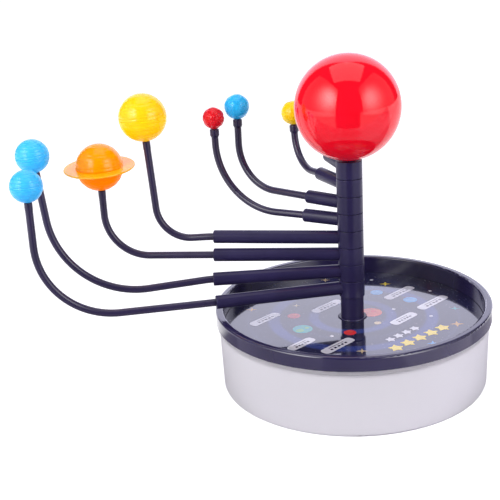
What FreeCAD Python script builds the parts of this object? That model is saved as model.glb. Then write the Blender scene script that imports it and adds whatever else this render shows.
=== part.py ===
"""Desk-top toy orrery: eight hand-turned planet arms stacked on one post, over a star-chart tray and a round tub.

Frame: origin on the column's axis at the underside of the tub, +Z up, +X to the viewer's right.
All sizes are in millimetres and degrees.
"""
import os
from math import cos, radians, sin, sqrt

import FreeCAD
import Part

V = FreeCAD.Vector

# ---- tub: the open-topped base that the tray closes
TUB_HEIGHT = 53.6
TUB_BOTTOM_RADIUS = 91.9
TUB_TOP_RADIUS = 93.0
TUB_WALL = 1.7
TUB_FLOOR = 2.0
TUB_EDGE_ROUND = 1.6
LIP_RADIUS = 94.3
LIP_HEIGHT = 3.4
NECK_RADIUS = 93.0

# ---- tray: the lid whose rim hooks over the tub's neck
RIM_RADIUS = 95.0
RIM_TOP = 56.3
RIM_BOTTOM = 46.8
RIM_WIDTH = 5.4
RIM_SKIN = 1.35
RIM_ROUND = 1.5
TRAY_FLOOR_TOP = 43.0
TRAY_FLOOR_THICKNESS = 2.0
BOSS_RADIUS = 9.9
BOSS_TOP = 44.7
SOCKET_BOSS_DEPTH = 12.0
SOCKET_BOSS_WALL = 2.5

# ---- chart: the printed disc that lies in the tray
CHART_TOP = 44.0
CHART_GAP = 0.3

# ---- post: lower pillar, slim spindle for the collars, peg for the sun
POST_RADIUS = 7.9
STACK_BOTTOM = 60.0
SPINDLE_RADIUS = 4.5
SPINDLE_TOP = 156.4
SUN_PEG_RADIUS = 3.0
SUN_PEG_LENGTH = 15.0
CHAMFER = 0.6

# ---- collars and their sockets
COLLAR_RADIUS = 8.8
COLLAR_PITCH = 12.0
COLLAR_GAP = 0.25
RUNNING_CLEARANCE = 0.06
SOCKET_RADIUS = 4.6
LONG_SOCKET = 95.0
SHORT_SOCKET = 34.5
MIDDLE_SOCKET = 40.5
INSERTION = 13.0

# ---- rods
ROD_RADIUS = 2.5
PUSH_FIT = 0.02
KINK_LENGTH = 6.0
TIP_LENGTH = 6.4
TIP_RADIUS = 2.65
BARREL_RADIUS = 3.3
TIP_TAPER = 1.6
NECK_LENGTH = 0.3
TIP_NECK_RADIUS = 2.0
TIP_PEG_RADIUS = 1.7
SEAT_RADIUS = 2.4

# ---- planets and sun
SHELL = 1.5
SEAM_LIP = 1.2
SUN_RADIUS = 35.0
SUN_CENTRE = 191.2
SUN_SHELL = 2.0
RING_OUTER = 24.5
RING_THICKNESS = 1.1
RING_TILT = 4.0


class Arm:
    """One planet's arm: where it points, how its rod runs and the ball that it carries."""

    def __init__(self, planet, azimuth, socket, reach, bend, rise, droop, ball, halves=False):
        self.planet = planet      # name
        self.azimuth = azimuth    # direction seen from above, anticlockwise from +X
        self.socket = socket      # radius at which the collar's socket ends
        self.reach = reach        # from the socket's end out to the rod's upright
        self.bend = bend          # radius of the rod's right-angle bend
        self.rise = rise          # from the socket's centre line up to the ball's centre
        self.droop = droop        # how far the rod leans down out of its socket
        self.ball = ball          # the planet's radius
        self.halves = halves      # True where the planet is two half shells


ARMS = [
    Arm("neptune", 194.9, LONG_SOCKET, 116.0, 51.5, 92.0, -0.5, 10.6, halves=True),
    Arm("uranus", 187.0, LONG_SOCKET, 103.6, 59.0, 103.4, 5.2, 11.2, halves=True),
    Arm("saturn", 177.2, LONG_SOCKET, 75.8, 30.2, 64.4, 0.0, 16.3, halves=True),
    Arm("jupiter", 174.8, LONG_SOCKET, 38.7, 23.0, 87.4, 3.5, 16.4, halves=True),
    Arm("mars", 154.5, SHORT_SOCKET, 69.2, 46.5, 65.0, 0.8, 7.7),
    Arm("earth", 145.7, SHORT_SOCKET, 60.8, 30.8, 57.4, -0.5, 8.9),
    Arm("venus", 119.9, MIDDLE_SOCKET, 35.6, 24.0, 40.0, 4.5, 8.6),
    Arm("mercury", 110.0, MIDDLE_SOCKET, 10.0, 8.4, 27.0, 0.0, 6.2),
]


def rod_start(arm):
    """Radius at which the rod ends inside the collar's socket."""
    return arm.socket - INSERTION


def lathe(points):
    """Solid of revolution about Z from a closed outline of (radius, height) points."""
    corners = [V(r, 0, z) for r, z in points]
    face = Part.Face(Part.makePolygon(corners + [corners[0]]))
    return face.revolve(V(0, 0, 0), V(0, 0, 1), 360)


def drum(radius, bottom, top):
    """Upright cylinder about Z between two heights."""
    return Part.makeCylinder(radius, top - bottom, V(0, 0, bottom))


def round_edges(solid, radius, picks):
    """Fillet the round edges that lie at the given (radius, height) places."""
    chosen = []
    for edge in solid.Edges:
        if isinstance(edge.Curve, Part.Circle):
            place = (edge.Curve.Radius, edge.Curve.Center.z)
            if any(abs(place[0] - r) < 0.01 and abs(place[1] - z) < 0.01 for r, z in picks):
                chosen.append(edge)
    return solid.makeFillet(radius, chosen)


def save(shape, node):
    """Write one solid, checked, as parts/NODE.step."""
    if shape.ShapeType == "Compound" and len(shape.Solids) == 1:
        shape = shape.Solids[0]
    if not shape.isValid() or len(shape.Solids) != 1:
        raise ValueError(f"{node}: {len(shape.Solids)} solids, valid {shape.isValid()}")
    shape.exportStep(f"parts/{node}.step")
    print(f"{node:22s} volume {shape.Volume:10.1f}")


# ---------------------------------------------------------------- base
def make_tub():
    """Thin-walled tub with a slight draft, a lip for the tray's skirt and a neck above it."""
    lip_bottom = RIM_BOTTOM - LIP_HEIGHT
    tub = lathe([
        (0, 0),
        (TUB_BOTTOM_RADIUS, 0),
        (TUB_TOP_RADIUS, lip_bottom),
        (LIP_RADIUS, lip_bottom + 0.8),
        (LIP_RADIUS, RIM_BOTTOM),
        (NECK_RADIUS, RIM_BOTTOM),
        (NECK_RADIUS, TUB_HEIGHT),
        (NECK_RADIUS - TUB_WALL, TUB_HEIGHT),
        (NECK_RADIUS - TUB_WALL, lip_bottom),
        (TUB_BOTTOM_RADIUS - TUB_WALL, TUB_FLOOR),
        (0, TUB_FLOOR),
    ])
    return round_edges(tub, TUB_EDGE_ROUND, [(TUB_BOTTOM_RADIUS, 0)])


def make_tray():
    """Shallow dish: channel rim that hooks over the tub, floor, and a boss that grips the post."""
    inner = RIM_RADIUS - RIM_WIDTH
    floor_bottom = TRAY_FLOOR_TOP - TRAY_FLOOR_THICKNESS
    tray = lathe([
        (0, floor_bottom),
        (inner + RIM_SKIN - 1.8, floor_bottom),
        (inner + RIM_SKIN, floor_bottom + 1.8),
        (inner + RIM_SKIN, RIM_TOP - RIM_SKIN),
        (RIM_RADIUS - RIM_SKIN - 0.2, RIM_TOP - RIM_SKIN),
        (RIM_RADIUS - RIM_SKIN - 0.2, RIM_BOTTOM),
        (RIM_RADIUS, RIM_BOTTOM),
        (RIM_RADIUS, RIM_TOP),
        (inner, RIM_TOP),
        (inner, TRAY_FLOOR_TOP),
        (0, TRAY_FLOOR_TOP),
    ])
    tray = round_edges(tray, RIM_ROUND, [(RIM_RADIUS, RIM_TOP), (inner, RIM_TOP)])
    cup_bottom = TRAY_FLOOR_TOP - SOCKET_BOSS_DEPTH
    boss = drum(BOSS_RADIUS, cup_bottom, BOSS_TOP)
    boss = round_edges(boss, CHAMFER, [(BOSS_RADIUS, BOSS_TOP)])
    cup = drum(POST_RADIUS + PUSH_FIT, cup_bottom + SOCKET_BOSS_WALL, BOSS_TOP + 1)
    return tray.fuse(boss).cut(cup).removeSplitter()


def make_chart():
    """Printed disc that lies on the tray's floor, with a hole for the boss."""
    disc = drum(RIM_RADIUS - RIM_WIDTH - CHART_GAP, TRAY_FLOOR_TOP, CHART_TOP)
    return disc.cut(drum(BOSS_RADIUS + CHART_GAP, TRAY_FLOOR_TOP - 1, CHART_TOP + 1))


def make_post():
    """Fixed post: pillar in the tray's boss, spindle through the collars, peg for the sun."""
    foot = TRAY_FLOOR_TOP - SOCKET_BOSS_DEPTH + SOCKET_BOSS_WALL
    peg_top = SPINDLE_TOP + SUN_PEG_LENGTH
    return lathe([
        (0, foot),
        (POST_RADIUS, foot),
        (POST_RADIUS, STACK_BOTTOM),
        (SPINDLE_RADIUS, STACK_BOTTOM),
        (SPINDLE_RADIUS, SPINDLE_TOP),
        (SUN_PEG_RADIUS, SPINDLE_TOP),
        (SUN_PEG_RADIUS, peg_top - CHAMFER),
        (SUN_PEG_RADIUS - CHAMFER, peg_top),
        (0, peg_top),
    ])


# ---------------------------------------------------------------- arms
def placed(shape, arm):
    """Turn a shape made along +X to the arm's direction."""
    turned = shape.copy()
    turned.rotate(V(0, 0, 0), V(0, 0, 1), arm.azimuth)
    return turned


def make_collar(arm, centre):
    """Collar that turns on the spindle, with its socket tube for the rod, moulded in one."""
    half = (COLLAR_PITCH - COLLAR_GAP) / 2
    ring = drum(COLLAR_RADIUS, centre - half, centre + half)
    edges = [(COLLAR_RADIUS, centre - half), (COLLAR_RADIUS, centre + half)]
    ring = round_edges(ring, 0.3, edges)
    tube = Part.makeCylinder(SOCKET_RADIUS, arm.socket, V(0, 0, centre), V(1, 0, 0))
    mouth = [edge for edge in tube.Edges
             if isinstance(edge.Curve, Part.Circle) and edge.Curve.Center.x > 1]
    tube = tube.makeFillet(CHAMFER, mouth)
    bore = Part.makeCylinder(ROD_RADIUS + PUSH_FIT, INSERTION + 1, V(rod_start(arm), 0, centre), V(1, 0, 0))
    spindle = drum(SPINDLE_RADIUS + RUNNING_CLEARANCE, centre - COLLAR_PITCH, centre + COLLAR_PITCH)
    return placed(ring.fuse(tube).cut(bore).cut(spindle).removeSplitter(), arm)


def rod_frame(arm, centre):
    """Point where the rod starts to lean and the unit vectors along and across it."""
    lean = radians(arm.droop)
    along = V(cos(lean), 0, -sin(lean))
    across = V(sin(lean), 0, cos(lean))
    return V(arm.socket, 0, centre), along, across


def ball_centre(arm, centre):
    """Centre of the planet, before the arm is turned to its direction."""
    mouth, along, across = rod_frame(arm, centre)
    return mouth + along * arm.reach + across * arm.rise


def lean_arc(arm, mouth, along):
    """Gentle arc that turns the rod from the socket's line to its own lean."""
    chord = (V(1, 0, 0) + along).normalize() * KINK_LENGTH
    sagitta = KINK_LENGTH * radians(arm.droop) / 8
    middle = mouth + chord * 0.5 + V(sin(radians(arm.droop) / 2), 0, cos(radians(arm.droop) / 2)) * sagitta
    return Part.Arc(mouth, middle, mouth + chord).toShape(), mouth + chord


def make_tip(arm):
    """Thicker end of a rod, standing on the origin, with a neck and the peg for the ball."""
    radius = TIP_RADIUS if arm.halves else BARREL_RADIUS
    barrel_top = TIP_LENGTH - NECK_LENGTH
    peg_top = TIP_LENGTH + peg_depth(arm) - 0.4
    tip = lathe([
        (0, 0),
        (ROD_RADIUS, 0),
        (radius, TIP_TAPER),
        (radius, barrel_top),
        (TIP_NECK_RADIUS, barrel_top),
        (TIP_NECK_RADIUS, TIP_LENGTH),
        (TIP_PEG_RADIUS, TIP_LENGTH),
        (TIP_PEG_RADIUS, peg_top),
        (0, peg_top),
    ])
    return round_edges(tip, 0.7 * (radius - TIP_NECK_RADIUS), [(radius, barrel_top)])


def make_rod(arm, centre):
    """Bent rod: pushed into the socket, out, round one right-angle bend and up to its tip."""
    mouth, along, across = rod_frame(arm, centre)
    start = V(rod_start(arm), 0, centre)
    edges = [Part.LineSegment(start, mouth).toShape()]
    here = mouth
    if arm.droop:
        arc, here = lean_arc(arm, mouth, along)
        edges.append(arc)
    run = arm.reach - arm.bend - (here - mouth).dot(along)
    bend_start = here + along * run
    turn = sqrt(0.5)
    bend_middle = bend_start + along * arm.bend * turn + across * arm.bend * (1 - turn)
    bend_end = bend_start + along * arm.bend + across * arm.bend
    edges.append(Part.LineSegment(here, bend_start).toShape())
    edges.append(Part.Arc(bend_start, bend_middle, bend_end).toShape())
    seat = ball_centre(arm, centre) - across * seat_depth(arm)
    upright = (seat - bend_end).dot(across) - 0.1 - TIP_LENGTH
    shoulder = bend_end + across * upright
    edges.append(Part.LineSegment(bend_end, shoulder).toShape())
    profile = Part.Wire(Part.makeCircle(ROD_RADIUS, start, V(1, 0, 0)))
    rod = Part.Wire(edges).makePipeShell([profile], True, False)
    tip = make_tip(arm)
    tip.Placement = FreeCAD.Placement(shoulder, FreeCAD.Rotation(V(0, 0, 1), across))
    return placed(rod.fuse(tip).removeSplitter(), arm)


# ---------------------------------------------------------------- planets
def seat_depth(arm):
    """Distance from the ball's centre down to the small flat that its rod meets."""
    return sqrt(arm.ball ** 2 - SEAT_RADIUS ** 2)


def peg_depth(arm):
    """Depth of the hole for the rod's peg, from the flat."""
    return arm.ball * 0.95


def drop_in(shape, arm, centre):
    """Move a ball made about the origin to the end of its rod."""
    moved = shape.copy()
    moved.rotate(V(0, 0, 0), V(0, 1, 0), arm.droop)
    moved.translate(ball_centre(arm, centre))
    return placed(moved, arm)


def peg_hole(arm):
    """Hole that the rod's peg is pushed into."""
    seat = seat_depth(arm)
    return drum(TIP_PEG_RADIUS + PUSH_FIT, -seat - 5, -seat + peg_depth(arm))


def half_space(radius, upper):
    """Block that keeps the upper or the lower half of a ball."""
    block = Part.makeBox(4 * radius, 4 * radius, 2 * radius, V(-2 * radius, -2 * radius, 0))
    if not upper:
        block.translate(V(0, 0, -2 * radius))
    return block


def make_ball(arm):
    """Small planet, moulded in one, with a flat and a hole at its south pole."""
    ball = Part.makeSphere(arm.ball)
    below = drum(arm.ball, -2 * arm.ball, -seat_depth(arm))
    return ball.cut(below).cut(peg_hole(arm))


def make_upper_half(arm):
    """Upper half shell, with the thin lip that locates it in the lower half."""
    inner = arm.ball - SHELL
    shell = Part.makeSphere(arm.ball).cut(Part.makeSphere(inner)).common(half_space(arm.ball, True))
    lip = drum(inner, -SEAM_LIP, 0.4).cut(drum(inner - 0.8, -SEAM_LIP - 1, 1.4))
    trim = Part.makeSphere(sqrt(inner ** 2 + 0.01)).cut(drum(arm.ball, -arm.ball, -SEAM_LIP))
    return shell.fuse(lip.common(trim)).removeSplitter()


def make_lower_half(arm):
    """Lower half shell with the boss inside that grips the rod's peg."""
    inner = arm.ball - SHELL
    whole = Part.makeSphere(arm.ball)
    shell = whole.cut(Part.makeSphere(inner)).common(half_space(arm.ball, False))
    rebate = drum(inner + PUSH_FIT, -SEAM_LIP - 0.1, 1)
    boss = drum(TIP_PEG_RADIUS + SHELL, -arm.ball, -seat_depth(arm) + peg_depth(arm) + 0.8).common(whole)
    below = drum(arm.ball, -2 * arm.ball, -seat_depth(arm))
    return shell.cut(rebate).fuse(boss).cut(below).cut(peg_hole(arm)).removeSplitter()


def make_ring(arm):
    """Thin flat ring round the equator of the ringed planet."""
    ring = drum(RING_OUTER, -RING_THICKNESS / 2, RING_THICKNESS / 2)
    ring = round_edges(ring, 0.4, [(RING_OUTER, -RING_THICKNESS / 2), (RING_OUTER, RING_THICKNESS / 2)])
    ring.rotate(V(0, 0, 0), V(1, 0, 0), -RING_TILT)
    return ring.cut(Part.makeSphere(arm.ball + PUSH_FIT))


# ---------------------------------------------------------------- sun
def make_sun():
    """Hollow ball with a flat that sits on the spindle's end and an inner tube for the peg."""
    flat = SPINDLE_TOP - SUN_CENTRE
    whole = Part.makeSphere(SUN_RADIUS)
    shell = whole.cut(Part.makeSphere(SUN_RADIUS - SUN_SHELL))
    tube_top = flat + SUN_PEG_LENGTH + 2
    tube = drum(SUN_PEG_RADIUS + 2.2, -SUN_RADIUS, tube_top).common(whole)
    pad = drum(COLLAR_RADIUS, -SUN_RADIUS, flat + SUN_SHELL).common(whole)
    hole = drum(SUN_PEG_RADIUS + PUSH_FIT, -SUN_RADIUS - 1, flat + SUN_PEG_LENGTH + 0.4)
    below = drum(SUN_RADIUS, -2 * SUN_RADIUS, flat)
    sun = shell.fuse(tube).fuse(pad).cut(below).cut(hole).removeSplitter()
    sun.translate(V(0, 0, SUN_CENTRE))
    return sun


def main():
    """Build and write every piece."""
    os.makedirs("parts", exist_ok=True)
    save(make_tub(), "tub")
    save(make_tray(), "tray")
    save(make_chart(), "star_chart")
    save(make_post(), "post")
    save(make_sun(), "sun")
    for place, arm in enumerate(ARMS):
        centre = STACK_BOTTOM + COLLAR_PITCH * (place + 0.5)
        save(make_collar(arm, centre), f"{arm.planet}_collar")
        save(make_rod(arm, centre), f"{arm.planet}_rod")
        if arm.halves:
            save(drop_in(make_upper_half(arm), arm, centre), f"{arm.planet}_upper_half")
            save(drop_in(make_lower_half(arm), arm, centre), f"{arm.planet}_lower_half")
        else:
            save(drop_in(make_ball(arm), arm, centre), f"{arm.planet}_ball")
        if arm.planet == "saturn":
            save(drop_in(make_ring(arm), arm, centre), "saturn_ring")


main()
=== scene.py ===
"""Studio scene of a toy orrery.

Planet balls on bent rods turn about a post, over a star-chart tray that closes a frosted tub. Everything is
in metres, in the model's own frame: the column's axis is Z and the tub stands on Z = 0.
"""
import logging
from dataclasses import dataclass, field
from enum import Enum
from math import asin, atan2, cos, pi, radians, sin, sqrt, tau

import bmesh
import bpy
from mathutils import Matrix, Vector, noise


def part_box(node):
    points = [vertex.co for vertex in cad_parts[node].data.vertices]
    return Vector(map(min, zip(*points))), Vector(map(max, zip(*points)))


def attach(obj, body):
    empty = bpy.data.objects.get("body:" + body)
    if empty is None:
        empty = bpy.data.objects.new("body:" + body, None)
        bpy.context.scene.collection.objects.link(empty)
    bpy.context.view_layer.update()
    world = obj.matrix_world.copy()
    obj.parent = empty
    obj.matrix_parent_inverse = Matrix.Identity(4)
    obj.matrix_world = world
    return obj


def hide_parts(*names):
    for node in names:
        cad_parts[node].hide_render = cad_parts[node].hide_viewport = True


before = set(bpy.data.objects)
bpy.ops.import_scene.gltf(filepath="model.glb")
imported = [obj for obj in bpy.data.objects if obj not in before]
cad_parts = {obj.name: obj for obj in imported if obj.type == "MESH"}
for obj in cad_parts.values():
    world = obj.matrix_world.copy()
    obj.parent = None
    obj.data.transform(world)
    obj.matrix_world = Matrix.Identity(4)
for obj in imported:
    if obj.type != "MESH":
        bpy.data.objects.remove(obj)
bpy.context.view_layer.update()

log = logging.getLogger("orrery")
MM = 0.001
SAME_PLACE = 1e-6
STAND_BODY = "stand"

Colour = tuple[float, float, float]
Span = tuple[float, float]
Socket = bpy.types.NodeSocket
WHITE: Colour = (1.0, 1.0, 1.0)


class Relief(Enum):
    """What is moulded into a planet's surface."""

    BELTS = "belts"
    CONTINENTS = "continents"
    CRATERS = "craters"
    SWIRLS = "swirls"


class Motif(Enum):
    """Shapes printed on the star chart."""

    DISC = "disc"
    PLATE = "plate"
    BAR = "bar"
    SPARK = "spark"
    STAR = "star"


# ------------------------------------------------------------------ shader helpers
class Nodes:
    """A node tree, with short calls to add and join its nodes."""

    def __init__(self, tree: bpy.types.NodeTree) -> None:
        """Work on that tree."""
        self.tree = tree

    def add(self, kind: str, **settings: object) -> bpy.types.Node:
        """Add a node and set its properties.

        Args:
            kind: Blender's type name of the node.
            **settings: properties of the node, by name.

        Returns:
            The new node.
        """
        node = self.tree.nodes.new(kind)
        for key, value in settings.items():
            setattr(node, key, value)
        return node

    def join(self, source: Socket, target: Socket) -> None:
        """Link one socket to another."""
        self.tree.links.new(source, target)

    def feed(self, socket: Socket, value: object) -> None:
        """Set an input socket, or join it where the value is a socket.

        Args:
            socket: the input.
            value: a number, a vector, a colour or a socket.
        """
        if isinstance(value, Socket):
            self.join(value, socket)
        else:
            socket.default_value = value

    def fill(self, node: bpy.types.Node, **values: object) -> bpy.types.Node:
        """Feed input sockets by name.

        Args:
            node: the node whose inputs are set.
            **values: socket names, with underscores for spaces, and their values.

        Returns:
            The same node.
        """
        for key, value in values.items():
            self.feed(node.inputs[key.replace("_", " ")], value)
        return node

    def axes(self, vector: Socket) -> bpy.types.bpy_prop_collection:
        """X, Y and Z sockets of a vector."""
        return self.fill(self.add("ShaderNodeSeparateXYZ"), Vector=vector).outputs

    def spread(self, source: Socket, low: float, high: float, start: float = 0.35, end: float = 0.65,
               smooth: bool = False) -> Socket:
        """Map a value to a range; the usual start and end suit a noise.

        Args:
            source: value to map.
            low: result at start.
            high: result at end.
            start: value that gives low.
            end: value that gives high.
            smooth: whether the ends are eased.

        Returns:
            The mapped value's socket.
        """
        node = self.add("ShaderNodeMapRange", interpolation_type="SMOOTHSTEP" if smooth else "LINEAR")
        for socket, value in zip(node.inputs, (source, start, end, low, high)):
            self.feed(socket, value)
        return node.outputs[0]

    def blend(self, amount: object, first: object, second: object) -> Socket:
        """Mix two colours.

        Args:
            amount: share of the second colour, a number or a socket.
            first: a colour or a socket.
            second: a colour or a socket.

        Returns:
            The mixed colour's socket.
        """
        node = self.add("ShaderNodeMix", data_type="RGBA")
        for number, value in ((0, amount), (6, first), (7, second)):
            self.feed(node.inputs[number], (*value, 1.0) if isinstance(value, tuple) else value)
        return node.outputs[2]

    def math(self, operation: str, *values: object) -> Socket:
        """Arithmetic on numbers or sockets.

        Args:
            operation: Blender's name of the operation.
            *values: its operands.

        Returns:
            The result's socket.
        """
        node = self.add("ShaderNodeMath", operation=operation)
        for socket, value in zip(node.inputs, values):
            self.feed(socket, value)
        return node.outputs[0]


class Shader(Nodes):
    """One material's nodes, round a Principled shader."""

    def __init__(self, name: str) -> None:
        """Start a material that holds a Principled shader and its output.

        Args:
            name: the material's name.
        """
        self.material = bpy.data.materials.new(name)
        self.material.use_nodes = True
        super().__init__(self.material.node_tree)
        self.tree.nodes.clear()
        output = self.add("ShaderNodeOutputMaterial")
        self.surface = self.add("ShaderNodeBsdfPrincipled")
        self.join(self.surface.outputs[0], output.inputs["Surface"])
        self.place = self.add("ShaderNodeTexCoord").outputs["Object"]

    def noise(self, scale: float, detail: float = 3.0, stretch: Colour = (1.0, 1.0, 1.0)) -> Socket:
        """Fractal noise over the piece.

        Args:
            scale: features per metre.
            detail: number of finer layers.
            stretch: scale of each axis.

        Returns:
            The noise's value socket.
        """
        mapping = self.fill(self.add("ShaderNodeMapping"), Vector=self.place, Scale=stretch)
        texture = self.add("ShaderNodeTexNoise")
        self.fill(texture, Vector=mapping.outputs[0], Scale=scale, Detail=detail)
        return texture.outputs["Fac"]

    def plan(self) -> Socket:
        """Position seen from above, with no height.

        Returns:
            The flattened position's socket.
        """
        flat = self.add("ShaderNodeVectorMath", operation="MULTIPLY")
        self.feed(flat.inputs[0], self.place)
        self.feed(flat.inputs[1], (1.0, 1.0, 0.0))
        return flat.outputs[0]

    def radius(self) -> Socket:
        """Distance from the column's axis.

        Returns:
            The distance's socket.
        """
        length = self.add("ShaderNodeVectorMath", operation="LENGTH")
        self.feed(length.inputs[0], self.plan())
        return length.outputs["Value"]

    def bump(self, height: Socket, depth: float, under: Socket | None = None) -> Socket:
        """Bump from a height.

        Args:
            height: socket that runs from 0 to 1.
            depth: height in metres that 1 stands for.
            under: normal of a coarser bump below this one.

        Returns:
            The bumped normal's socket.
        """
        node = self.fill(self.add("ShaderNodeBump"), Height=height, Distance=depth, Strength=1.0)
        if under is not None:
            self.join(under, node.inputs["Normal"])
        return node.outputs[0]


# ------------------------------------------------------------------ finishes
@dataclass(frozen=True)
class MouldedPlastic:
    """Injection-moulded plastic with flow mottling, orange peel, smudges and fine scuffs."""

    name: str
    colour: Colour
    shade: Colour
    roughness: float = 0.28
    coat: float = 0.25
    glow: float = 0.0
    peel: float = 0.004
    smudge: float = 0.05
    shine: float = 0.5
    painted_glow: float = 0.0
    mottle_scale: float = 45.0
    smear_scale: float = 60.0
    scuff_scale: float = 900.0
    peel_scale: float = 420.0
    grain_scale: float = 2600.0
    drawn_out: Colour = (1.0, 1.0, 0.06)

    def start(self) -> Shader:
        """Shader with the whole finish.

        Returns:
            The shader, which a subclass may still change.
        """
        s = Shader(self.name)
        tint = s.blend(s.spread(s.noise(self.mottle_scale, 2.0), 0.0, 1.0), self.colour, self.shade)
        smears = s.spread(s.noise(self.smear_scale, 5.0), 0.0, self.smudge, 0.4, 0.75)
        scuffs = s.spread(s.noise(self.scuff_scale, 2.0, self.drawn_out), 0.0, self.smudge * 0.6, 0.66, 0.8)
        rough = s.math("ADD", s.math("ADD", smears, scuffs), self.roughness)
        peel = s.bump(s.noise(self.peel_scale, 2.0), self.peel * MM)
        grain = s.bump(s.noise(self.grain_scale, 3.0), self.peel * 0.25 * MM, peel)
        s.fill(s.surface, Base_Color=tint, Roughness=rough, Normal=grain)
        s.fill(s.surface, Coat_Weight=self.coat, Coat_Roughness=0.05, IOR=1.49, Specular_IOR_Level=self.shine)
        # Painted glow: the tint is also emitted, standing in for light that would reach the skin from below.
        if self.painted_glow:
            s.fill(s.surface, Emission_Color=tint, Emission_Strength=self.painted_glow)
        if self.glow:
            s.fill(s.surface, Subsurface_Weight=self.glow, Subsurface_Scale=0.006,
                   Subsurface_Radius=(1.0, 0.6, 0.4))
        return s

    def make(self) -> bpy.types.Material:
        """Build the material."""
        return self.start().material


@dataclass(frozen=True)
class TrayPlastic(MouldedPlastic):
    """Plastic of the tray: its rim is polished and its dish is duller."""

    roughness: float = 0.14
    smudge: float = 0.03
    dish_roughness: float = 0.26
    dish_coat: float = 0.12
    rim_coat: float = 0.85
    dish_edge: float = 89.3 * MM
    rim_edge: float = 90.0 * MM

    def make(self) -> bpy.types.Material:
        """Build the material, with its gloss set by the distance from the axis.

        Returns:
            The material.
        """
        s = self.start()
        edges = (self.dish_edge, self.rim_edge)
        s.fill(s.surface, Coat_Weight=s.spread(s.radius(), self.dish_coat, self.rim_coat, *edges),
               Roughness=s.spread(s.radius(), self.dish_roughness, self.roughness, *edges))
        return s.material


@dataclass(frozen=True)
class PlanetPlastic(MouldedPlastic):
    """Thin, bright plastic of the planets: a duller skin, some subsurface scatter, and a painted glow that
    stands in for light from below.
    """

    roughness: float = 0.17
    coat: float = 0.0
    glow: float = 0.10
    peel: float = 0.002
    smudge: float = 0.015
    shine: float = 0.35
    painted_glow: float = 0.12


@dataclass(frozen=True)
class FrostedPlastic:
    """Milky, translucent plastic with a frosted skin and faint flow marks."""

    name: str
    colour: Colour
    shade: Colour
    passing: float = 0.45
    clearer: float = 0.6
    clearer_from: float = 40.8 * MM
    clearer_full: float = 44.2 * MM
    flow_scale: float = 28.0
    streak_scale: float = 160.0
    frost_scale: float = 2200.0
    frost_depth: float = 0.012 * MM
    drawn_out: Colour = (1.0, 1.0, 0.3)

    def make(self) -> bpy.types.Material:
        """Build the material; it is clearer near the top, where the dark tray is seen behind the wall.

        Returns:
            The material.
        """
        s = Shader(self.name)
        flow = s.spread(s.noise(self.flow_scale, 3.0, self.drawn_out), 0.0, 1.0)
        tint = s.blend(flow, self.colour, self.shade)
        height = s.axes(s.place)["Z"]
        clear = s.spread(height, self.passing, self.clearer, self.clearer_from, self.clearer_full)
        rough = s.spread(s.noise(self.streak_scale, 4.0, self.drawn_out), 0.40, 0.52)
        frost = s.bump(s.noise(self.frost_scale, 3.0), self.frost_depth)
        s.fill(s.surface, Base_Color=tint, Roughness=rough, Normal=frost, IOR=1.46)
        s.fill(s.surface, Transmission_Weight=clear, Coat_Weight=0.12, Coat_Roughness=0.3)
        return s.material


@dataclass(frozen=True)
class PrintedFilm:
    """Ink under a clear gloss film, with uneven ink and a faint waviness in the film."""

    name: str
    colour: Colour
    shade: Colour
    film: float = 1.0
    wave_scale: float = 9.0
    wave_depth: float = 0.02 * MM
    ink_scale: float = 300.0

    def start(self) -> Shader:
        """Shader with the film's gloss and waviness, and no ink yet.

        Returns:
            The shader.
        """
        s = Shader(self.name)
        wave = s.bump(s.noise(self.wave_scale, 1.0), self.wave_depth)
        s.fill(s.surface, Roughness=0.12, IOR=1.55, Coat_Weight=self.film, Coat_Roughness=0.015,
               Coat_IOR=1.7, Normal=wave, Coat_Normal=wave)
        return s

    def make(self) -> bpy.types.Material:
        """Build the material of a single ink.

        Returns:
            The material.
        """
        s = self.start()
        ink = s.blend(s.spread(s.noise(self.ink_scale, 4.0), 0.0, 1.0), self.colour, self.shade)
        s.fill(s.surface, Base_Color=ink)
        return s.material


@dataclass(frozen=True)
class StarField(PrintedFilm):
    """The chart's ground: night sky with haze, small stars and the orbit bands."""

    band: Colour = (0.032, 0.050, 0.22)
    line: Colour = (0.10, 0.13, 0.32)
    star: Colour = (0.75, 0.78, 0.9)
    orbits: tuple[Span, ...] = ((0.027, 0.0035), (0.055, 0.0042))
    lines: tuple[float, ...] = (0.040, 0.073)
    line_half: float = 0.00035
    line_ink: float = 0.35
    haze_scale: float = 26.0
    stars: tuple[Span, ...] = ((420.0, 0.085), (210.0, 0.055))

    def ring(self, s: Shader, radius: Socket, middle: float, half: float) -> Socket:
        """One round band with soft edges.

        Args:
            s: the shader that is being built.
            radius: distance from the axis.
            middle: the band's middle radius.
            half: half its width.

        Returns:
            Socket that is 1 in the band and 0 outside.
        """
        away = s.math("ABSOLUTE", s.math("SUBTRACT", radius, middle))
        return s.spread(away, 1.0, 0.0, half * 0.8, half * 1.15)

    def make(self) -> bpy.types.Material:
        """Build the material: haze, then thin lines, broad bands and stars.

        Returns:
            The material.
        """
        s = self.start()
        radius = s.radius()
        ground = s.blend(s.spread(s.noise(self.haze_scale, 5.0), 0.0, 1.0), self.colour, self.shade)
        for middle in self.lines:
            ink = s.math("MULTIPLY", self.ring(s, radius, middle, self.line_half), self.line_ink)
            ground = s.blend(ink, ground, self.line)
        for middle, half in self.orbits:
            ground = s.blend(self.ring(s, radius, middle, half), ground, self.band)
        for scale, size in self.stars:
            cells = s.add("ShaderNodeTexVoronoi", voronoi_dimensions="3D")
            s.fill(cells, Vector=s.plan(), Scale=scale)
            spots = s.spread(cells.outputs["Distance"], 1.0, 0.0, size * 0.6, size)
            ground = s.blend(spots, ground, self.star)
        s.fill(s.surface, Base_Color=ground)
        return s.material


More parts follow.
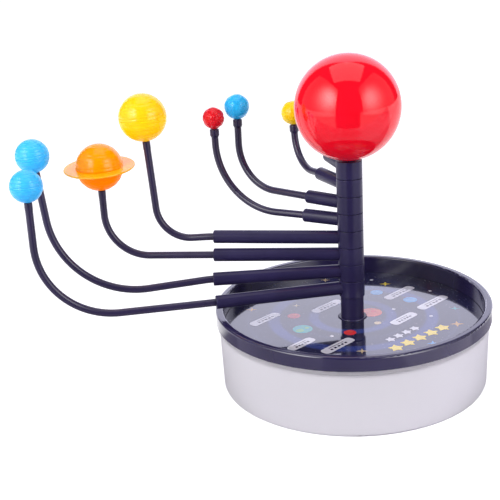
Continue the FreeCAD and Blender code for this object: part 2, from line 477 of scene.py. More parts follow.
class Palette:
    """Every finish of the orrery, made once and shared."""

    NAVY: Colour = (0.025, 0.019, 0.074)
    NAVY_SHADE: Colour = (0.020, 0.015, 0.060)

    def __init__(self) -> None:
        """Make the materials."""
        plastics = (
            TrayPlastic("tray_navy", self.NAVY, self.NAVY_SHADE),
            MouldedPlastic("post_navy", self.NAVY, self.NAVY_SHADE, 0.42, 0.0, shine=0.25),
            MouldedPlastic("collar_navy", self.NAVY, self.NAVY_SHADE, 0.34, 0.2, shine=0.25),
            MouldedPlastic("rod_navy", (0.030, 0.021, 0.070), (0.024, 0.017, 0.058), 0.28, 0.15),
            # The sun's painted glow lightens it, most of all its underside, standing in for light from below.
            MouldedPlastic("sun_red", (0.93, 0.005, 0.020), (0.90, 0.004, 0.016), 0.06, 0.0, peel=0.001,
                           smudge=0.015, painted_glow=0.095),
            # Each planet's underlight finish, for its lower half, is a lit copy of its upper finish: a deeper
            # tint and a stronger painted glow stand in for light from below.
            PlanetPlastic("neptune_blue", (0.056, 0.520, 1.0), (0.050, 0.500, 1.0)),
            PlanetPlastic("neptune_deep_blue", (0.050, 0.510, 1.0), (0.046, 0.490, 1.0), painted_glow=0.17),
            PlanetPlastic("uranus_blue", (0.056, 0.530, 1.0), (0.050, 0.510, 1.0)),
            PlanetPlastic("uranus_deep_blue", (0.050, 0.510, 1.0), (0.046, 0.490, 1.0), painted_glow=0.17),
            PlanetPlastic("saturn_orange", (1.0, 0.330, 0.0), (1.0, 0.315, 0.0), painted_glow=0.14),
            PlanetPlastic("saturn_deep_orange", (1.0, 0.220, 0.0), (1.0, 0.208, 0.0), shine=0.05,
                          painted_glow=0.42),
            PlanetPlastic("ring_amber", (1.0, 0.440, 0.004), (1.0, 0.42, 0.003), 0.24, 0.35, 0.35),
            PlanetPlastic("jupiter_yellow", (1.0, 0.62, 0.008), (1.0, 0.60, 0.007), painted_glow=0.14),
            PlanetPlastic("jupiter_deep_yellow", (1.0, 0.56, 0.006), (1.0, 0.54, 0.005), shine=0.2,
                          painted_glow=0.36),
            PlanetPlastic("mars_crimson", (0.78, 0.010, 0.022), (0.73, 0.008, 0.018)),
            PlanetPlastic("earth_blue", (0.030, 0.480, 0.93), (0.026, 0.445, 0.91), painted_glow=0.14),
            PlanetPlastic("venus_yellow", (1.0, 0.66, 0.010), (1.0, 0.62, 0.008)),
            PlanetPlastic("mercury_orange", (0.95, 0.40, 0.020), (0.90, 0.36, 0.015)),
        )
        frosted = FrostedPlastic("tub_frosted", (0.935, 0.915, 0.955), (0.92, 0.90, 0.94), 0.22)
        inks = (
            PrintedFilm("ink_white", (0.70, 0.69, 0.78), (0.64, 0.63, 0.72)),
            PrintedFilm("ink_night", (0.012, 0.012, 0.035), (0.016, 0.016, 0.045)),
            PrintedFilm("ink_yellow", (0.85, 0.66, 0.06), (0.80, 0.58, 0.04)),
            PrintedFilm("ink_amber", (0.62, 0.33, 0.08), (0.55, 0.28, 0.06)),
            PrintedFilm("ink_cream", (0.62, 0.48, 0.30), (0.55, 0.42, 0.25)),
            PrintedFilm("ink_red", (0.85, 0.045, 0.03), (0.75, 0.03, 0.03)),
            PrintedFilm("ink_pink", (0.55, 0.05, 0.07), (0.48, 0.04, 0.06)),
            PrintedFilm("ink_orange", (0.72, 0.11, 0.05), (0.62, 0.07, 0.04)),
            PrintedFilm("ink_blue", (0.10, 0.34, 0.72), (0.06, 0.26, 0.62)),
            PrintedFilm("ink_green", (0.04, 0.36, 0.30), (0.03, 0.28, 0.38)),
            PrintedFilm("ink_lime", (0.16, 0.42, 0.16), (0.12, 0.36, 0.18)),
            PrintedFilm("ink_teal", (0.05, 0.30, 0.34), (0.04, 0.24, 0.30)),
        )
        sky = StarField("chart_night_sky", (0.012, 0.011, 0.034), (0.020, 0.020, 0.070))
        self.made = {f.name: f.make() for f in (*plastics, frosted, *inks, sky)}

    def __getitem__(self, name: str) -> bpy.types.Material:
        """The material of that name."""
        return self.made[name]


# ------------------------------------------------------------------ mesh helpers
def finish_piece(name: str, bm: bmesh.types.BMesh, body: str, finishes: list[bpy.types.Material],
                 replaced: tuple[str, ...] = (), sharp: float = 30.0) -> bpy.types.Object:
    """Turn a bmesh into a finished piece that rides on a body.

    Args:
        name: the piece's name.
        bm: its mesh, in the model's frame; it is freed.
        body: CAD body that it rides on.
        finishes: materials, in the order of the faces' material index.
        replaced: CAD nodes that it stands for.
        sharp: angle in degrees above which an edge is drawn sharp.

    Returns:
        The new object.
    """
    mesh = bpy.data.meshes.new(name)
    bm.to_mesh(mesh)
    bm.free()
    for material in finishes:
        mesh.materials.append(material)
    mesh.shade_smooth()
    mesh.set_sharp_from_angle(angle=radians(sharp))
    piece = bpy.data.objects.new(name, mesh)
    bpy.context.scene.collection.objects.link(piece)
    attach(piece, body)
    if replaced:
        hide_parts(*replaced)
    log.info("%s: %d faces on %s", name, len(mesh.polygons), body)
    return piece


def dress(node: str, material: bpy.types.Material) -> None:
    """Give a carried-over CAD node its finish in every slot.

    Args:
        node: the node's name.
        material: the finish.
    """
    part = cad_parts[node]
    if not part.material_slots:
        part.data.materials.append(material)
    for held in part.material_slots:
        held.material = material
    log.info("%s: dressed in %s", node, material.name)


def lathe(bm: bmesh.types.BMesh, outline: list[tuple[float, float]], steps: int) -> None:
    """Spin an outline of (radius, height) points that starts and ends on the axis into a closed solid.

    Args:
        bm: mesh that receives the solid.
        outline: the points, from one end of the axis to the other.
        steps: segments round the axis.
    """
    verts = [bm.verts.new((max(r, 0.0), 0.0, z)) for r, z in outline]
    edges = [bm.edges.new(pair) for pair in zip(verts, verts[1:])]
    bmesh.ops.spin(bm, geom=verts + edges, axis=(0, 0, 1), cent=(0, 0, 0), angle=tau, steps=steps,
                   use_merge=True, use_duplicate=False)
    bmesh.ops.remove_doubles(bm, verts=bm.verts, dist=SAME_PLACE)
    bmesh.ops.recalc_face_normals(bm, faces=bm.faces)


# ------------------------------------------------------------------ planets
@dataclass
class Planet:
    """One planet ball, moulded in one or in two half shells, on the tip of its rod."""

    name: str
    finish: str
    relief: Relief
    lean: float = 0.0
    # Finish of the lower half shell: a lit copy of the upper finish, whose deeper tint and stronger painted
    # glow stand in for light from below; empty for a one-piece ball.
    painted_underlight_finish: str = ""
    shell: float = 1.5 * MM
    seat: float = 2.4 * MM
    peg: float = 1.72 * MM
    seam: float = 0.28 * MM
    around: int = 128
    along: int = 40
    inside: int = 16
    belt_rate: float = 22.0
    belt_shift: float = 0.6
    belt_depth: float = 0.22 * MM
    land_depth: float = 0.26 * MM
    crater_depth: float = 0.34 * MM
    swirl_depth: float = 0.24 * MM
    relief_from: float = -0.93
    relief_rise: float = 12.0
    boss_share: float = 0.95
    boss_roof: float = 0.8 * MM
    bore_share: float = 0.93
    radius: float = field(init=False)
    centre: Vector = field(init=False)

    def __post_init__(self) -> None:
        """Read the ball's size and place from the frame."""
        nodes = ("upper_half", "lower_half") if self.painted_underlight_finish else ("ball",)
        boxes = [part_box(f"{self.name}_{node}") for node in nodes]
        low = [min(box[0][axis] for box in boxes) for axis in range(3)]
        high = [max(box[1][axis] for box in boxes) for axis in range(3)]
        self.radius = max(high[0] - low[0], high[1] - low[1]) / 2
        self.centre = Vector(((low[0] + high[0]) / 2, (low[1] + high[1]) / 2, high[2] - self.radius))

    def body(self) -> str:
        """Name of the arm body that carries the planet."""
        return f"{self.name}_arm"

    def place(self) -> Matrix:
        """Matrix that leans a ball made about the origin and moves it to its rod's tip.

        Returns:
            The matrix.
        """
        outward = atan2(self.centre.y, self.centre.x)
        lean = Matrix.Rotation(radians(self.lean), 4, "Y")
        return Matrix.Translation(self.centre) @ Matrix.Rotation(outward, 4, "Z") @ lean

    def surface(self, latitude: float) -> float:
        """Outer radius at a latitude, with any moulded belts.

        Args:
            latitude: in radians.

        Returns:
            The distance from the ball's centre.
        """
        if self.relief is not Relief.BELTS:
            return self.radius
        wave = 0.5 + 0.5 * cos(latitude * self.belt_rate + self.belt_shift)
        groove = max(0.0, 1.0 - 6.0 * wave) * (1.0 - (abs(latitude) / (pi / 2)) ** 6)
        return self.radius - self.belt_depth * groove

    def half_outline(self, upper: bool) -> list[tuple[float, float]]:
        """Outline of a half shell from its pole, over the outside, to the seam and back inside.

        Args:
            upper: True for the upper half.

        Returns:
            Points (radius, height) that start and end on the axis.
        """
        side = 1.0 if upper else -1.0
        first = 0.0 if upper else asin(self.seat / self.radius)
        outer = []
        for step in range(self.along + 1):
            polar = first + (pi / 2 - first) * step / self.along
            reach = self.surface(side * (pi / 2 - polar))
            outer.append((reach * sin(polar), side * reach * cos(polar)))
        edge = self.surface(0.0)
        outer[-1] = (edge - self.seam, 0.0)
        outer.insert(-1, (sqrt(edge ** 2 - self.seam ** 2), side * self.seam))
        del outer[-3]
        inner_radius = self.radius - self.shell
        inner = []
        last = 0.0 if upper else asin((self.peg + self.shell) / inner_radius)
        for step in range(self.inside + 1):
            polar = pi / 2 - (pi / 2 - last) * step / self.inside
            inner.append((inner_radius * sin(polar), side * inner_radius * cos(polar)))
        if upper:
            return outer + inner
        seat_z = -sqrt(self.radius ** 2 - self.seat ** 2)
        deep = seat_z + self.radius * self.boss_share
        boss = [(self.peg + self.shell, deep), (0.0, deep)]
        hole = [(0.0, deep - self.boss_roof), (self.peg, deep - self.boss_roof), (self.peg, seat_z)]
        return hole + outer + inner + boss

    def make_half(self, upper: bool, palette: Palette) -> bpy.types.Object:
        """Build one half shell.

        Args:
            upper: True for the upper half.
            palette: the finishes.

        Returns:
            The new piece.
        """
        bm = bmesh.new()
        lathe(bm, self.half_outline(upper), self.around)
        bmesh.ops.transform(bm, matrix=self.place(), verts=bm.verts)
        part = "upper" if upper else "lower"
        finish = self.finish if upper else self.painted_underlight_finish
        return finish_piece(f"{self.name}_{part}_shell", bm, self.body(),
                            [palette[finish]], (f"{self.name}_{part}_half",))

    def height(self, direction: Vector) -> float:
        """How far the relief lies below the ball's full radius.

        Args:
            direction: unit vector from the ball's centre.

        Returns:
            Depth in metres.
        """
        shifted = direction + Vector((sum(map(ord, self.name)) % 17, 3.0, 5.0))
        if self.relief is Relief.CONTINENTS:
            level = noise.fractal(Vector((shifted.x * 2.3, shifted.y * 2.3, shifted.z * 1.15)), 0.9, 2.1, 3)
            return self.land_depth * (0.5 - 0.5 * sin(min(max(level * 4.0, -pi / 2), pi / 2)))
        if self.relief is Relief.CRATERS:
            level = noise.noise(shifted * 3.6)
            return self.crater_depth * min(max(0.5 + level * 1.9, 0.0), 1.0)
        level = noise.noise(Vector((shifted.x * 2.0, shifted.y * 2.0, shifted.z * 5.0)))
        return self.swirl_depth * min(max(0.5 + level * 2.2, 0.0), 1.0)

    def make_ball(self, palette: Palette) -> bpy.types.Object:
        """Build a one-piece ball with its relief, its flat seat and the hole for the peg.

        Args:
            palette: the finishes.

        Returns:
            The new piece.
        """
        bm = bmesh.new()
        bmesh.ops.create_uvsphere(bm, u_segments=self.around, v_segments=self.around // 2, radius=1.0)
        for vert in bm.verts:
            direction = vert.co.normalized()
            fade = min(1.0, max(0.0, (direction.z - self.relief_from) * self.relief_rise))
            vert.co = direction * (self.radius - self.height(direction) * fade)
        seat_z = -sqrt(self.radius ** 2 - self.seat ** 2)
        cut = bmesh.ops.bisect_plane(bm, geom=bm.verts[:] + bm.edges[:] + bm.faces[:], dist=1e-7,
                                     plane_co=(0, 0, seat_z), plane_no=(0, 0, -1), clear_outer=True)
        rim = [e for e in cut["geom_cut"] if isinstance(e, bmesh.types.BMEdge)]
        flat = bmesh.ops.contextual_create(bm, geom=rim)["faces"]
        bmesh.ops.inset_region(bm, faces=flat, thickness=self.seat - self.peg, use_even_offset=True)
        hole = bmesh.ops.extrude_discrete_faces(bm, faces=flat)["faces"]
        roof = list({v for f in hole for v in f.verts})
        bmesh.ops.translate(bm, verts=roof, vec=(0, 0, self.radius * self.bore_share))
        bmesh.ops.recalc_face_normals(bm, faces=bm.faces)
        bmesh.ops.transform(bm, matrix=self.place(), verts=bm.verts)
        return finish_piece(f"{self.name}_globe", bm, self.body(),
                            [palette[self.finish]], (f"{self.name}_ball",), sharp=50.0)

    def build(self, palette: Palette) -> list[bpy.types.Object]:
        """Build every piece of the planet.

        Args:
            palette: the finishes.

        Returns:
            The new pieces.
        """
        if self.painted_underlight_finish:
            return [self.make_half(True, palette), self.make_half(False, palette)]
        return [self.make_ball(palette)]


@dataclass
class Arms:
    """The eight arms: collars and rods as made in CAD, and the planets on their tips."""

    planets: tuple[Planet, ...] = field(default_factory=lambda: (
        Planet("neptune", "neptune_blue", Relief.BELTS, -0.5, "neptune_deep_blue"),
        Planet("uranus", "uranus_blue", Relief.BELTS, 5.2, "uranus_deep_blue"),
        Planet("saturn", "saturn_orange", Relief.BELTS, 0.0, "saturn_deep_orange"),
        Planet("jupiter", "jupiter_yellow", Relief.BELTS, 3.5, "jupiter_deep_yellow"),
        Planet("mars", "mars_crimson", Relief.CRATERS, 0.8),
        Planet("earth", "earth_blue", Relief.CONTINENTS, -0.5),
        Planet("venus", "venus_yellow", Relief.SWIRLS, 4.5),
        Planet("mercury", "mercury_orange", Relief.CRATERS),
    ))

    def build(self, palette: Palette) -> None:
        """Build the planets and dress the collars, rods and ring.

        Args:
            palette: the finishes.
        """
        for planet in self.planets:
            dress(f"{planet.name}_collar", palette["collar_navy"])
            dress(f"{planet.name}_rod", palette["rod_navy"])
            planet.build(palette)
        dress("saturn_ring", palette["ring_amber"])


# ------------------------------------------------------------------ sun
@dataclass
class Sun:
    """Glossy red ball on the top of the post."""

    around: int = 192
    along: int = 96
    peg: float = 3.02 * MM
    bore: float = 15.4 * MM

    def build(self, palette: Palette) -> bpy.types.Object:
        """Spin the ball, flat-footed and bored for the spindle's peg.

        Args:
            palette: the finishes.

        Returns:
            The new piece.
        """
        low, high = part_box("sun")
        radius = (high.x - low.x) / 2
        centre_z = high.z - radius
        foot_z = low.z - centre_z
        foot = sqrt(max(radius ** 2 - foot_z ** 2, 0.0))
        first = asin(foot / radius)
        outer = [(radius * sin(a), -radius * cos(a))
                 for a in (first + (pi - first) * n / self.along for n in range(self.along + 1))]
        hole = [(0.0, foot_z + self.bore), (self.peg, foot_z + self.bore), (self.peg, foot_z)]
        bm = bmesh.new()
        lathe(bm, hole + outer, self.around)
        bmesh.ops.translate(bm, verts=bm.verts, vec=(0, 0, centre_z))
        return finish_piece("sun_ball", bm, STAND_BODY, [palette["sun_red"]], ("sun",))


# ------------------------------------------------------------------ star chart
@dataclass(frozen=True)
class Mark:
    """One printed mark on the chart."""

    motif: Motif
    x: float
    y: float
    size: float
    ink: str
    long: float = 0.0


@dataclass
class StarChart:
    """Printed disc in the tray: sky and orbits on the CAD disc, and raised-by-a-hair marks on top."""

    turn: float = 50.0
    ink_thickness: float = 0.03 * MM
    spark_waist: float = 0.3
    star_waist: float = 0.56
    plate_corner: float = 0.4
    star_corner: float = 0.12

    def planets(self) -> list[Mark]:
        """The printed sun and planets.

        Returns:
            The marks.
        """
        disc = Motif.DISC
        return [
            Mark(disc, 13.0, 6.0, 7.6, "ink_orange"),
            Mark(disc, -41.0, 2.0, 4.6, "ink_pink"),
            Mark(disc, -34.0, -21.5, 6.8, "ink_green"),
            Mark(disc, 17.0, -13.0, 2.4, "ink_cream"),
            Mark(disc, 18.0, 44.0, 4.6, "ink_blue"),
            Mark(disc, 41.5, 28.5, 5.0, "ink_blue"),
            Mark(disc, -2.0, -28.5, 4.2, "ink_red"),
        ]

    def planet_details(self) -> list[Mark]:
        """Lands and glints printed over the planets.

        Returns:
            The marks.
        """
        disc = Motif.DISC
        return [
            Mark(disc, -35.8, -23.8, 2.7, "ink_lime"),
            Mark(disc, -31.2, -19.6, 1.6, "ink_lime"),
            Mark(disc, 14.6, 8.0, 1.9, "ink_red"),
            Mark(disc, -40.2, 3.2, 1.3, "ink_orange"),
            Mark(disc, -1.2, -27.4, 1.2, "ink_orange"),
        ]

    def plates(self) -> list[Mark]:
        """The slanted tags, each with a row of dark dashes and a line in place of a name.

        Returns:
            The marks.
        """
        spots = ((-61.0, -3.0, 27.0), (-18.0, 19.0, 29.0), (-34.0, -46.0, 23.0), (-10.0, -49.5, 29.0),
                 (34.5, 42.5, 31.0), (57.0, 22.5, 31.0), (35.0, -6.0, 25.0))
        along = Vector((cos(radians(self.turn)), sin(radians(self.turn))))
        across = Vector((-along.y, along.x))
        marks = []
        for x, y, long in spots:
            centre = Vector((x, y))
            marks.append(Mark(Motif.PLATE, x, y, 7.6, "ink_white", long))
            for part in (-0.24, -0.12, 0.0, 0.12, 0.24):
                spot = centre + along * long * part - across * 0.9
                marks.append(Mark(Motif.BAR, spot.x, spot.y, 1.7, "ink_night", long * 0.075))
            line = centre + across * 1.6
            marks.append(Mark(Motif.BAR, line.x, line.y, 0.5, "ink_night", long * 0.5))
        return marks

    def title(self) -> list[Mark]:
        """A row of fat yellow stars under a row of small white ones, where a title would stand.

        Returns:
            The marks.
        """
        marks = [Mark(Motif.STAR, 27.5 + 8.1 * n, -54.5 + 7.9 * n, 5.5, "ink_yellow") for n in range(5)]
        marks += [Mark(Motif.STAR, 24.5 + 5.6 * n, -41.0 + 5.9 * n, 3.8, "ink_white") for n in range(4)]
        return marks

    def sparks(self) -> list[Mark]:
        """Four-pointed stars and dots.

        Returns:
            The marks.
        """
        spark = Motif.SPARK
        disc = Motif.DISC
        return [
            Mark(spark, 25.0, 61.0, 4.4, "ink_yellow"),
            Mark(spark, -72.0, 15.0, 4.2, "ink_amber"),
            Mark(spark, 70.0, -17.0, 5.0, "ink_amber"),
            Mark(spark, -40.0, 21.0, 3.0, "ink_cream"),
            Mark(spark, 71.5, 10.5, 3.8, "ink_teal"),
            Mark(spark, 51.5, -48.0, 4.0, "ink_blue"),
            Mark(spark, 5.5, -58.5, 4.0, "ink_cream"),
            Mark(disc, 15.0, 70.0, 1.3, "ink_white"),
            Mark(disc, 57.0, 45.0, 1.1, "ink_white"),
            Mark(disc, 54.0, -2.5, 1.3, "ink_white"),
            Mark(disc, 29.0, 11.5, 1.4, "ink_white"),
            Mark(disc, -14.0, -34.0, 1.3, "ink_white"),
            Mark(spark, -55.0, 48.0, 3.4, "ink_yellow"),
            Mark(spark, -20.0, 72.0, 3.8, "ink_cream"),
            Mark(spark, -58.0, -47.0, 3.6, "ink_teal"),
            Mark(disc, -48.0, 33.0, 1.3, "ink_white"),
            Mark(disc, -6.0, 54.0, 1.2, "ink_white"),
        ]

    def shape(self, bm: bmesh.types.BMesh, mark: Mark) -> list[bmesh.types.BMFace]:
        """Make one flat mark about the origin.

        Args:
            bm: mesh that receives it.
            mark: what to make.

        Returns:
            Its faces.
        """
        size = mark.size * MM
        if mark.motif is Motif.DISC:
            made = bmesh.ops.create_circle(bm, cap_ends=True, segments=40, radius=size)
        elif mark.motif is Motif.SPARK:
            made = bmesh.ops.create_circle(bm, cap_ends=True, segments=8, radius=size)
            for vert in made["verts"]:
                if min(abs(vert.co.x), abs(vert.co.y)) > size * 0.1:
                    vert.co *= self.spark_waist
        elif mark.motif is Motif.STAR:
            made = bmesh.ops.create_circle(bm, cap_ends=True, segments=10, radius=size)
            for number, vert in enumerate(made["verts"]):
                vert.co *= 1.0 if number % 2 else self.star_waist
        else:
            stretch = Matrix.Diagonal((mark.long * MM / 2, size / 2, 1.0, 1.0))
            made = bmesh.ops.create_grid(bm, x_segments=1, y_segments=1, size=1.0, matrix=stretch)
        faces = list({f for v in made["verts"] for f in v.link_faces})
        if mark.motif in (Motif.PLATE, Motif.STAR):
            corner = size * (self.plate_corner if mark.motif is Motif.PLATE else self.star_corner)
            geom = made["verts"] + [e for f in faces for e in f.edges]
            cut = bmesh.ops.bevel(bm, geom=geom, offset=corner, offset_type="OFFSET", segments=5, profile=0.5,
                                  affect="VERTICES", material=-1)
            faces = list({f for v in cut["verts"] for f in v.link_faces})
        return faces

    def print_marks(self, name: str, marks: list[Mark], palette: Palette, layer: int = 0) -> bpy.types.Object:
        """Make a set of marks as thin slabs of ink that lie on the disc.

        Args:
            name: the piece's name.
            marks: the marks.
            palette: the finishes.
            layer: how many layers of ink lie below.

        Returns:
            The new piece.
        """
        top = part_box("star_chart")[1].z
        inks = sorted({mark.ink for mark in marks})
        bm = bmesh.new()
        for mark in marks:
            faces = self.shape(bm, mark)
            raised = bmesh.ops.extrude_face_region(bm, geom=faces, use_keep_orig=True)["geom"]
            lifted = [g for g in raised if isinstance(g, bmesh.types.BMVert)]
            whole = list({v for f in faces for v in f.verts} | set(lifted))
            bmesh.ops.translate(bm, verts=lifted, vec=(0, 0, self.ink_thickness))
            angle = radians(self.turn) if mark.motif in (Motif.PLATE, Motif.BAR, Motif.STAR) else 0.0
            level = top + layer * self.ink_thickness
            if mark.motif is Motif.BAR:
                level += self.ink_thickness
            place = Matrix.Translation((mark.x * MM, mark.y * MM, level)) @ Matrix.Rotation(angle, 4, "Z")
            bmesh.ops.transform(bm, matrix=place, verts=whole)
            for face in {f for v in whole for f in v.link_faces}:
                face.material_index = inks.index(mark.ink)
        bmesh.ops.recalc_face_normals(bm, faces=bm.faces)
        return finish_piece(name, bm, STAND_BODY, [palette[ink] for ink in inks])

    def build(self, palette: Palette) -> None:
        """Dress the disc and print every mark.

        Args:
            palette: the finishes.
        """
        dress("star_chart", palette["chart_night_sky"])
        self.print_marks("chart_planets", self.planets(), palette)
        self.print_marks("chart_planet_details", self.planet_details(), palette, layer=1)
        self.print_marks("chart_stars", self.sparks(), palette)
        self.print_marks("chart_name_plates", self.plates(), palette, layer=1)
        self.print_marks("chart_title", self.title(), palette, layer=1)


# ------------------------------------------------------------------ stand and base
@dataclass
class Stand:
    """Tub, tray and post, as made in CAD."""

    finishes: dict[str, str] = field(default_factory=lambda: {
        "tub": "tub_frosted", "tray": "tray_navy", "post": "post_navy"})

    def build(self, palette: Palette) -> None:
        """Dress each moulding.

        Args:
            palette: the finishes.
        """
        for node, finish in self.finishes.items():
            dress(node, palette[finish])


# ------------------------------------------------------------------ studio
@dataclass(frozen=True)
class SoftBox:
    """Upright light panel that is even except for a brighter, soft-edged core."""

    name: str
    spot: Colour
    aim: Colour
    width: float
    height: float
    level: float
    core: float = 0.0
    core_spread: float = 0.15
    core_across: float = 0.5
    core_up: float = 0.5

    def offset(self, nodes: Nodes, source: Socket, centre: float, length: float) -> Socket:
        """Squared distance from the core along one side of the panel.

        Args:
            nodes: the light's nodes.
            source: position along the side, from 0 to 1.
            centre: the core's position along it.
            length: the side's length.

        Returns:
            The squared distance in core spreads.
        """
        spreads = length / self.core_spread
        away = nodes.math("MULTIPLY_ADD", source, spreads, -centre * spreads)
        return nodes.math("MULTIPLY", away, away)

    def shape_core(self, light: bpy.types.Light) -> None:
        """Give the panel its brighter core.

        Args:
            light: the panel's light.
        """
        light.use_nodes = True
        nodes = Nodes(light.node_tree)
        place = nodes.axes(nodes.add("ShaderNodeNewGeometry").outputs["Parametric"])
        total = nodes.math("ADD", self.offset(nodes, place["X"], self.core_across, self.width),
                           self.offset(nodes, place["Y"], self.core_up, self.height))
        bell = nodes.math("EXPONENT", nodes.math("MULTIPLY", total, -0.5))
        strength = nodes.math("MULTIPLY_ADD", bell, self.core / self.level, 1.0)
        nodes.fill(nodes.tree.nodes["Emission"], Strength=strength)

    def hang(self) -> None:
        """Make the light, facing its aim."""
        data = bpy.data.lights.new(self.name, "AREA")
        data.shape = "RECTANGLE"
        data.size, data.size_y = self.width, self.height
        data.energy = self.level * pi * self.width * self.height
        if self.core:
            self.shape_core(data)
        light = bpy.data.objects.new(self.name, data)
        light.location = self.spot
        light.rotation_mode = "QUATERNION"
        light.rotation_quaternion = (Vector(self.aim) - Vector(self.spot)).to_track_quat("-Z", "Y")
        light.visible_camera = False
        bpy.context.scene.collection.objects.link(light)


@dataclass(frozen=True)
class Table:
    """Table that is white to the eye and patterned in reflections.

    It is pale about the object, shaded before its middle, dark past the front edge, and lit at the back and
    at both front corners. Each Span of places says where one area turns into the next.
    """

    half: float = 6.0
    white: float = 1.0
    pale: Colour = (0.92, 0.88, 1.0)
    dark: Colour = (0.03, 0.03, 0.04)
    front: Span = (-0.31, -0.29)
    shade: float = 0.55
    shade_middle: float = 0.02
    shade_sides: Span = (0.068, 0.088)
    shade_ends: Span = (-0.17, -0.13)
    under: float = 0.55
    under_slope: float = 0.43
    under_edge: Span = (-0.105, -0.09)
    painted_side_levels: Span = (0.52, 0.92)
    sides: Span = (-0.10, 0.10)
    sweep: float = 0.9
    sweep_edge: Span = (0.08, 0.11)
    sweep_slope: float = 0.6
    sweep_slant: Span = (0.13, 0.15)
    corner: float = 0.9
    corner_slant: Span = (0.45, 0.52)

    def paleness(self, s: Shader, across: Socket, back: Socket) -> Socket:
        """Share of the pale colour, a pattern of painted light and shade on the table.

        Args:
            s: the table's shader.
            across: distance to the right of the column.
            back: distance behind it.

        Returns:
            The share's socket.
        """
        # Painted shade on the table: a strip before the middle, dark past the front edge, darker again behind
        # a slanted V line in front of the object, and the left side painted darker than the right.
        aside = s.math("ABSOLUTE", s.math("SUBTRACT", across, self.shade_middle))
        near = s.math("MAXIMUM", s.spread(aside, 0.0, 1.0, *self.shade_sides),
                      s.spread(back, self.shade, 1.0, *self.shade_ends))
        front = s.math("MULTIPLY", near, s.spread(back, 0.0, 1.0, *self.front))
        strip = s.math("SUBTRACT", back, s.math("MULTIPLY", s.math("ABSOLUTE", across), self.under_slope))
        pale = s.math("MULTIPLY", front, s.spread(strip, 1.0, self.under, *self.under_edge))
        return s.math("MULTIPLY", pale, s.spread(across, *self.painted_side_levels, *self.sides))

    def glow(self, s: Shader, across: Socket, back: Socket) -> Socket:
        """Light that the table gives: the lit back and front corners, and plain white to the eye.

        Args:
            s: the table's shader.
            across: distance to the right of the column.
            back: distance behind it.

        Returns:
            The strength's socket.
        """
        slanted = s.math("SUBTRACT", back, s.math("MULTIPLY", across, self.sweep_slope))
        sweep = s.math("MAXIMUM", s.spread(back, 0.0, self.sweep, *self.sweep_edge),
                       s.spread(slanted, 0.0, self.sweep, *self.sweep_slant))
        slant = s.math("ABSOLUTE", s.math("DIVIDE", across, back))
        corners = s.math("MULTIPLY", s.spread(slant, 0.0, self.corner, *self.corner_slant),
                         s.spread(back, 1.0, 0.0, *self.front))
        seen = s.add("ShaderNodeLightPath").outputs["Is Camera Ray"]
        return s.math("MAXIMUM", s.math("MULTIPLY", seen, self.white), s.math("MAXIMUM", sweep, corners))

    def build(self) -> None:
        """Lay the table under the object."""
        bm = bmesh.new()
        bmesh.ops.create_grid(bm, x_segments=1, y_segments=1, size=self.half)
        mesh = bpy.data.meshes.new("floor")
        bm.to_mesh(mesh)
        bm.free()
        s = Shader("floor_white")
        across, back, _ = s.axes(s.place)
        pattern = s.blend(self.paleness(s, across, back), self.dark, self.pale)
        s.fill(s.surface, Base_Color=pattern, Roughness=0.9, Specular_IOR_Level=0.0,
               Emission_Color=(*WHITE, 1.0), Emission_Strength=self.glow(s, across, back))
        mesh.materials.append(s.material)
        plane = bpy.data.objects.new("floor", mesh)
        bpy.context.scene.collection.objects.link(plane)


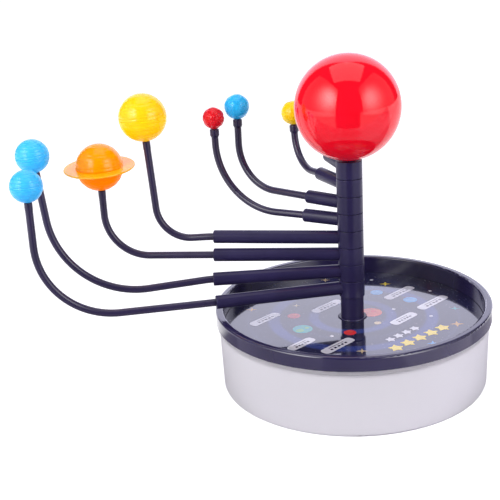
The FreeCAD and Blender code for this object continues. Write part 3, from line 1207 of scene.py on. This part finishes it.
@dataclass
class Studio:
    """White table and backdrop, light panels and the camera."""

    eye: Colour = (0.0, -0.6659, 0.3229)
    pan: float = -5.93
    tilt: float = 18.84
    roll: float = -3.29
    lens: float = 74.0
    sensor: float = 36.0
    backdrop: float = 1.5
    backdrop_tint: Colour = (0.82, 0.815, 1.0)
    backdrop_slope: float = 0.45
    backdrop_edge: Span = (0.40, 0.52)
    room: float = 0.04
    table: Table = Table()
    panels: tuple[SoftBox, ...] = (
        SoftBox("left_panel", (-0.94, -0.342, 0.82), (0.0, 0.0, 0.82), 2.0, 1.6, 0.4,
                core=7.5, core_spread=0.33, core_across=0.77, core_up=0.48),
        SoftBox("right_panel", (0.966, -0.259, 0.82), (0.0, 0.0, 0.82), 1.9, 1.6, 0.4,
                core=5.0, core_spread=0.30, core_across=0.28, core_up=0.39),
        SoftBox("top_panel", (0.0, 0.05, 1.2), (0.0, 0.05, 0.0), 0.95, 0.95, 1.3),
    )

    def camera(self) -> None:
        """Stand the camera at its viewing angle."""
        pan, tilt, roll = radians(self.pan), radians(self.tilt), radians(self.roll)
        ahead = Vector((sin(pan) * cos(tilt), cos(pan) * cos(tilt), -sin(tilt)))
        right = Vector((cos(pan), -sin(pan), 0.0))
        up = right.cross(ahead)
        level = Matrix((right * cos(roll) + up * sin(roll), up * cos(roll) - right * sin(roll), -ahead))
        data = bpy.data.cameras.new("camera")
        data.lens = self.lens
        data.sensor_width = self.sensor
        data.clip_start = 0.01
        camera = bpy.data.objects.new("camera", data)
        camera.matrix_world = Matrix.Translation(self.eye) @ level.transposed().to_4x4()
        bpy.context.scene.collection.objects.link(camera)
        bpy.context.scene.camera = camera

    def world(self) -> None:
        """White backdrop behind the object and a dim room elsewhere."""
        world = bpy.data.worlds.new("studio")
        world.use_nodes = True
        bpy.context.scene.world = world
        nodes = Nodes(world.node_tree)
        across, back, _ = nodes.axes(nodes.add("ShaderNodeTexCoord").outputs["Generated"])
        behind = nodes.math("MULTIPLY_ADD", nodes.math("ABSOLUTE", across), -self.backdrop_slope, back)
        lit = nodes.spread(behind, self.room, self.backdrop, *self.backdrop_edge, smooth=True)
        seen = nodes.add("ShaderNodeLightPath").outputs["Is Camera Ray"]
        nodes.fill(nodes.tree.nodes["Background"], Strength=nodes.math("MAXIMUM", lit, seen),
                   Color=nodes.blend(seen, self.backdrop_tint, WHITE))

    def build(self) -> None:
        """Set up the whole studio."""
        scene = bpy.context.scene
        scene.view_settings.view_transform = "Standard"
        scene.view_settings.look = "None"
        self.camera()
        self.table.build()
        self.world()
        for panel in self.panels:
            panel.hang()


def main() -> None:
    logging.basicConfig(level=logging.INFO, format="%(name)s: %(message)s")
    palette = Palette()
    for assembly in (Stand(), StarChart(), Arms(), Sun()):
        assembly.build(palette)
        log.info("%s is done", type(assembly).__name__)
    Studio().build()


if __name__ == "__main__":
    main()
